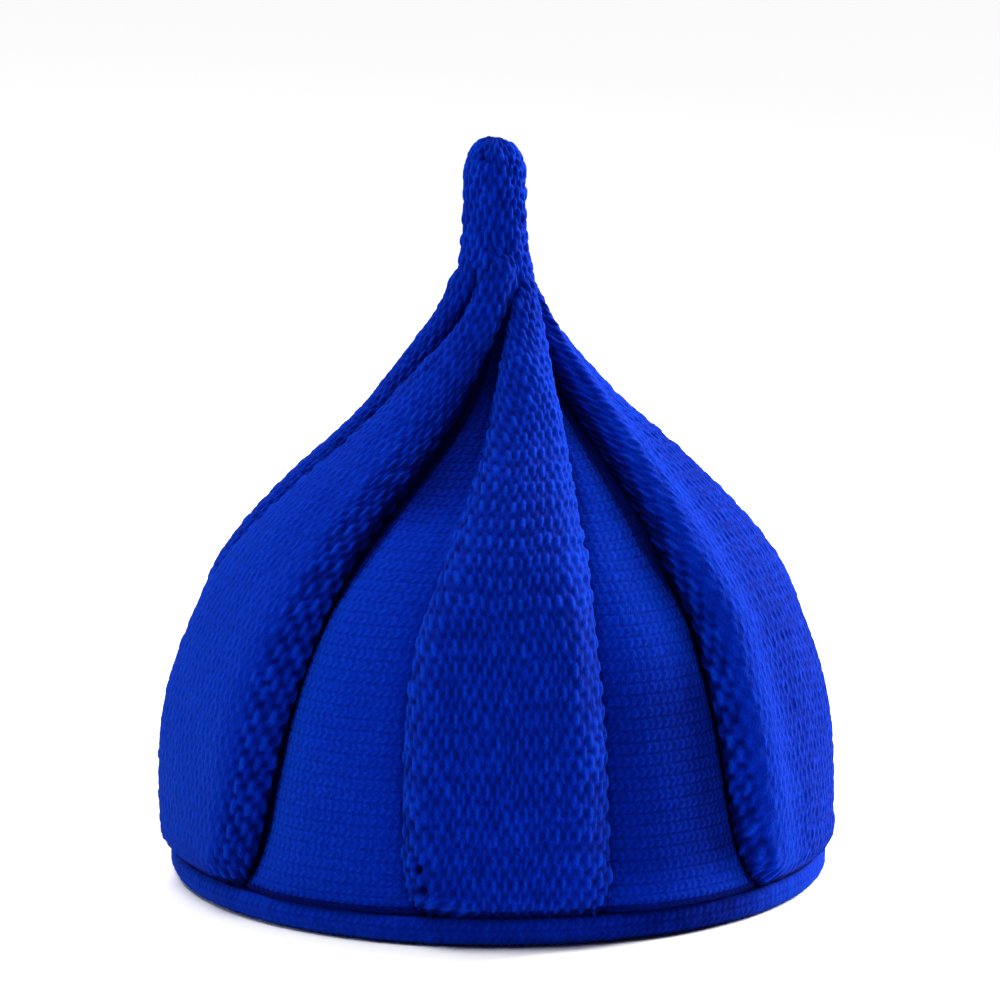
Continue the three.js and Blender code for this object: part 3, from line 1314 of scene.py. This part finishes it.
    def slope(self, points: Array) -> Array:
        """Work out how far upright bumps lean across columns that follow a twisted panel.

        Args:
            points: the panel's grid of points.

        Returns:
            The lean in columns for each bump's length.
        """
        turn = turns(points)
        step = np.gradient(points, axis=0)
        aside = step[..., 0] * np.cos(turn) + step[..., 1] * np.sin(turn)
        columns = aside * self.bump_points / self.moss.column
        return np.clip(columns * self.upright, -self.most_lean, self.most_lean)

    def dress(self) -> None:
        """Give the wedges their yarn and tell the frame what they are."""
        yarn = AcrylicYarn("acrylic_yarn_purl_side").material()
        for piece in self.made:
            piece.data.materials.append(yarn)
            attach(piece, BODY)
            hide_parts("crown")
            LOG.info("%s: %d triangles", piece.name, triangles(piece))


@dataclass
class RolledHem:
    """The hem: the fabric's edge, which rolls outwards and shows small plain stitches along the roll.

    Its inner side, tucked under the crown, is painted dark as shade, and a stretch of the front is painted
    darker as the shadow of the crown's overhang over the tucked turns, in degrees.
    """

    radius: float = 94.0 * MM
    height: float = 5.1 * MM
    half_width: float = 3.7 * MM
    half_height: float = 4.75 * MM
    around: int = 812
    round_roll: int = 36
    swell: float = 0.05
    finer_swell: float = 7.0
    underside: float = 0.97
    inner_roll: float = 16.0
    inner_rise: Span = (0.35, 0.7)
    tone: float = 0.24
    contrast: float = 0.66
    rough: float = 0.12
    rough_turn: float = 23.0
    rough_roll: float = 0.02
    tucked: Band = Band(8.0, 28.0, 40.0, 60.0)
    front_painted_shadow: float = 0.5
    sunk: float = 0.2 * MM
    stitch: PlainStitch = PlainStitch(height=0.7 * MM)
    piece: bpy.types.Object | None = None

    def build(self) -> None:
        """Make the roll as a ring that closes on itself both ways."""
        turn, roll = np.meshgrid(
            np.linspace(0.0, FULL_TURN, self.around + 1), np.linspace(0.0, FULL_TURN, self.round_roll + 1)
        )
        finer = slow_wave(turn * self.finer_swell, 0.0, seed=5.0)
        swell = 1.0 + self.swell * (slow_wave(turn, 0.0, seed=8.0) + finer)
        up = self.half_height * np.sin(roll)
        up = np.where(up < 0.0, up * self.underside, up)
        points = about_axis(turn, self.radius + self.half_width * np.cos(roll) * swell, self.height + up)
        normals = about_axis(turn, np.cos(roll) / self.half_width, np.sin(roll) / self.half_height)
        normals /= np.linalg.norm(normals, axis=2, keepdims=True)
        girth = math.pi * (self.half_width + self.half_height)
        wales = round(girth / self.stitch.wale)
        courses = round(FULL_TURN * self.radius / self.stitch.course)
        share = self.stitch.relief(
            np.mod(turn / FULL_TURN * courses, courses), np.mod(roll / FULL_TURN * wales, wales), seed=90.0
        )
        # Painted shade: the inner side under the crown and a stretch of the front under its overhang are
        # darkened in the colour; the front's painted shadow is added back in the relief, so it darkens the
        # colour only.
        inner = smoothstep(np.sin(roll - math.radians(self.inner_roll)), *self.inner_rise)
        rough = self.rough * slow_wave(turn * self.rough_turn, np.sin(roll) * self.rough_roll, seed=6.0)
        tucked = self.front_painted_shadow * self.tucked.share(np.degrees(turn))
        share = (self.tone + rough + self.contrast * share - tucked) * (1.0 - inner) - inner
        surface = KnitSurface(
            points=points,
            normals=normals,
            relief=np.maximum(share + tucked, 0.0) * self.stitch.height - self.sunk,
            depth=share,
            across=turn * self.radius,
            along=roll * girth / FULL_TURN,
        )
        self.piece = surface.body("hem_roll", None)

    def dress(self) -> None:
        """Give the hem its yarn and tell the frame what it is."""
        self.piece.data.materials.append(AcrylicYarn("acrylic_yarn_rolled_edge").material())
        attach(self.piece, BODY)
        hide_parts("hem")
        LOG.info("%s: %d triangles", self.piece.name, triangles(self.piece))


@dataclass(frozen=True)
class Ring:
    """One level of the stalk, in millimetres."""

    height: float
    radius: float


@dataclass
class Stalk:
    """The knitted stalk: a narrow stuffed tube, whose last stitches gather in a small dimple."""

    outline: tuple[Ring, ...] = tuple(
        Ring(*ring)
        for ring in (
            (166.0, 0.0), (166.0, 8.5), (171.0, 10.8), (176.0, 11.2), (180.5, 10.9), (184.6, 10.1),
            (188.0, 9.5), (193.0, 9.1), (200.0, 8.9), (207.0, 8.9), (210.5, 8.7), (213.6, 7.8),
            (216.2, 6.2), (218.1, 4.3), (219.2, 2.3), (219.5, 0.0),
        )
    )
    lean: float = -1.1 * MM
    around: int = 168
    moss: MossStitch = MossStitch(height=0.85 * MM, stout=0.44)
    spacing: float = 0.5 * MM
    smoothings: int = 6
    girth_radius: float = 9.6 * MM
    moss_aside: Waves = ((0.22, 3.0, 1.3, 0.0), (0.16, 5.0, -2.1, 0.0))
    moss_lifted: Waves = ((0.16, 2.0, 0.7, 0.0), (0.1, 7.0, 0.0, 0.0))
    contrast: float = 1.15
    contrast_wave: float = 0.35
    pole: Span = (0.5 * MM, 5.0 * MM)
    steady_pole: Span = (0.5 * MM, 3.0 * MM)
    tone: float = 0.16
    tone_range: float = 0.82
    bend: float = 0.3 * MM
    bend_rate: float = 2.0
    bend_above: Span = (182.0 * MM, 192.0 * MM)
    top_bend: float = 0.45 * MM
    top_turn: float = 0.6
    top: Span = (208.0 * MM, 217.0 * MM)
    sunk: float = 0.3 * MM
    curl_side: float = -1.4 * MM
    curl_height: float = 215.2 * MM
    curl_radius: float = 2.4 * MM
    curl_width: float = 0.75 * MM
    curl_turns: Band = Band(-35.0, -5.0, 105.0, 140.0)
    curl_front: Span = (0.0, 3.0 * MM)
    curl_depth: float = 0.9 * MM
    curl_shade: float = 0.45
    piece: bpy.types.Object | None = None

    def build(self) -> None:
        """Make the stalk as a round grid with a pole at each end."""
        corners = np.array([(ring.radius, ring.height) for ring in self.outline]) * MM
        steps = np.linalg.norm(np.diff(corners, axis=0), axis=1)
        known = np.concatenate(([0.0], np.cumsum(steps)))
        count = int(known[-1] / self.spacing)
        turn, arc = np.meshgrid(
            np.linspace(0.0, FULL_TURN, self.around + 1), np.linspace(0.0, known[-1], count)
        )
        radius = np.interp(arc[:, 0], known, corners[:, 0])
        height = np.interp(arc[:, 0], known, corners[:, 1])
        for _ in range(self.smoothings):
            for line in (radius, height):
                line[1:-1] = (line[:-2] + 2.0 * line[1:-1] + line[2:]) / 4.0
        lines = (radius, height, np.gradient(height), -np.gradient(radius))
        ring, level, outward, upward = (np.broadcast_to(line[:, None], turn.shape) for line in lines)
        points = about_axis(turn, ring, level, self.lean)
        normals = about_axis(turn, outward, upward)
        normals /= np.maximum(np.linalg.norm(normals, axis=2, keepdims=True), TINY)
        normals[-1] = (0.0, 0.0, 1.0)
        columns = 2 * round(math.pi * self.girth_radius / self.moss.column)
        along = arc / self.moss.length
        column = turn / FULL_TURN * columns + waves(turn, along, self.moss_aside)
        lifted = along + waves(turn, along, self.moss_lifted)
        share = self.moss.relief(np.mod(column, columns), lifted, seed=60.0)
        contrast = self.contrast + self.contrast_wave * slow_wave(turn, level, seed=2.0)
        share = 0.5 + (share - 0.5) * contrast
        # The curl's groove is sunk and painted darker as shade.
        groove = self.curl(points)
        share = share * smoothstep(ring, *self.pole) - self.curl_shade * groove
        bend = self.bend * slow_wave(turn, level * self.bend_rate, seed=5.0)
        bend = bend * smoothstep(level, *self.bend_above)
        bend = bend + self.top_bend * np.sin(2.0 * turn + self.top_turn) * smoothstep(level, *self.top)
        bend = (bend - self.curl_depth * groove) * smoothstep(ring, *self.steady_pole)
        surface = KnitSurface(
            points=points,
            normals=normals,
            relief=share * self.moss.height - self.sunk + bend,
            depth=self.tone + self.tone_range * share,
            across=turn * self.girth_radius,
            along=arc,
        )
        self.piece = surface.body("stalk_tube", None)

    def curl(self, points: Array) -> Array:
        """Work out where the last stitches curl over at the front, which leaves a short bent groove.

        Args:
            points: the stalk's grid of points.

        Returns:
            Shares from 0 outside to 1 along the groove.
        """
        aside = points[..., 0] - self.lean - self.curl_side
        above = points[..., 2] - self.curl_height
        near = np.exp(-(((np.hypot(aside, above) - self.curl_radius) / self.curl_width) ** 2))
        part = self.curl_turns.share(np.degrees(np.arctan2(-aside, -above)))
        return near * part * smoothstep(-points[..., 1], *self.curl_front)

    def dress(self) -> None:
        """Give the stalk its yarn and tell the frame what it is."""
        self.piece.data.materials.append(AcrylicYarn("acrylic_yarn_stalk").material())
        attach(self.piece, BODY)
        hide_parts("stalk")
        LOG.info("%s: %d triangles", self.piece.name, triangles(self.piece))


# --- Studio ---


@dataclass(frozen=True)
class Lamp:
    """A soft box: its direction from the hat, its distance, side and power."""

    name: str
    turn: float
    rise: float
    distance: float
    side: float
    power: float


def toward(turn: float, rise: float) -> Vector:
    """Give the unit vector at a turn from the front and a rise above the floor, both in degrees."""
    turn, rise = math.radians(turn), math.radians(rise)
    return Vector((math.sin(turn) * math.cos(rise), -math.cos(turn) * math.cos(rise), math.sin(rise)))


@dataclass
class Studio:
    """A pale floor, soft lights and the camera, with lengths in metres and turns in degrees."""

    aim: tuple[float, float, float] = (0.00045, 0.0, 0.1114)
    elevation: float = 9.8
    distance: float = 1.5
    lens: float = 182.0
    sensor: float = 36.0
    clip: Span = (0.05, 60.0)
    floor_half: float = 12.0
    sun_turn: float = 180.0
    sun_rise: float = 71.0
    sun_width: float = 80.0
    sun_strength: float = 3.22
    room_light: float = 0.03
    lamps: tuple[Lamp, ...] = (
        Lamp("right_soft_box", 118.0, 22.0, 1.2, 0.4, 39.0),
        Lamp("left_soft_box", -100.0, 12.0, 1.2, 0.6, 3.5),
        Lamp("top_left_soft_box", -70.0, 65.0, 1.2, 0.6, 9.0),
    )

    def build(self) -> None:
        """Make the floor, the lights, the sky and the camera."""
        bm = bmesh.new()
        bmesh.ops.create_grid(bm, x_segments=2, y_segments=2, size=self.floor_half)
        mesh = bpy.data.meshes.new("studio_floor")
        bm.to_mesh(mesh)
        bm.free()
        floor = add_object("studio_floor", mesh)
        mesh.materials.append(PaintedFloor().material())
        self.add_sun()
        for lamp in self.lamps:
            self.add_lamp(lamp)
        self.add_sky()
        self.add_camera()

    def hang(self, data: bpy.types.ID, way: Vector, distance: float) -> bpy.types.Object:
        """Hang a light or the camera so that it looks at the hat.

        Args:
            data: the light or the camera, whose name the object takes.
            way: the direction it hangs in, seen from the hat.
            distance: how far it hangs from the hat.

        Returns:
            The new object.
        """
        hung = add_object(data.name, data)
        hung.location = Vector(self.aim) + way * distance
        hung.rotation_euler = way.to_track_quat("Z", "Y").to_euler()
        return hung

    def add_sun(self) -> None:
        """Light the whole floor evenly from above, softly enough for a wide blurred shadow."""
        light = bpy.data.lights.new("overhead_light", "SUN")
        light.energy = self.sun_strength
        light.angle = math.radians(self.sun_width)
        self.hang(light, toward(self.sun_turn, self.sun_rise), self.distance)

    def add_lamp(self, lamp: Lamp) -> None:
        """Hang one soft box.

        Args:
            lamp: where it hangs and how strong it is.
        """
        light = bpy.data.lights.new(lamp.name, "AREA")
        light.shape = "SQUARE"
        light.size = lamp.side
        light.energy = lamp.power
        self.hang(light, toward(lamp.turn, lamp.rise), lamp.distance)

    def add_sky(self) -> None:
        """Fill the room with even white light."""
        world = bpy.data.worlds.new("studio_room")
        world.use_nodes = True
        sky = world.node_tree.nodes["Background"].inputs
        sky["Color"].default_value = (1.0, 1.0, 1.0, 1.0)
        sky["Strength"].default_value = self.room_light
        bpy.context.scene.world = world

    def add_camera(self) -> None:
        """Set up the camera in front of the hat, a little above it."""
        camera = bpy.data.cameras.new("camera")
        camera.lens = self.lens
        camera.sensor_width = self.sensor
        camera.clip_start, camera.clip_end = self.clip
        bpy.context.scene.camera = self.hang(camera, toward(0.0, self.elevation), self.distance)


def main() -> None:
    """Build the studio, then the hat piece by piece, and log each piece's triangles."""
    logging.basicConfig(level=logging.INFO, format="%(name)s: %(message)s")
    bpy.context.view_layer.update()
    bpy.context.scene.view_settings.view_transform = "Standard"
    Studio().build()
    for assembly in (Wedges(), RolledHem(), Stalk()):
        assembly.build()
        assembly.dress()


if __name__ == "__main__":
    main()
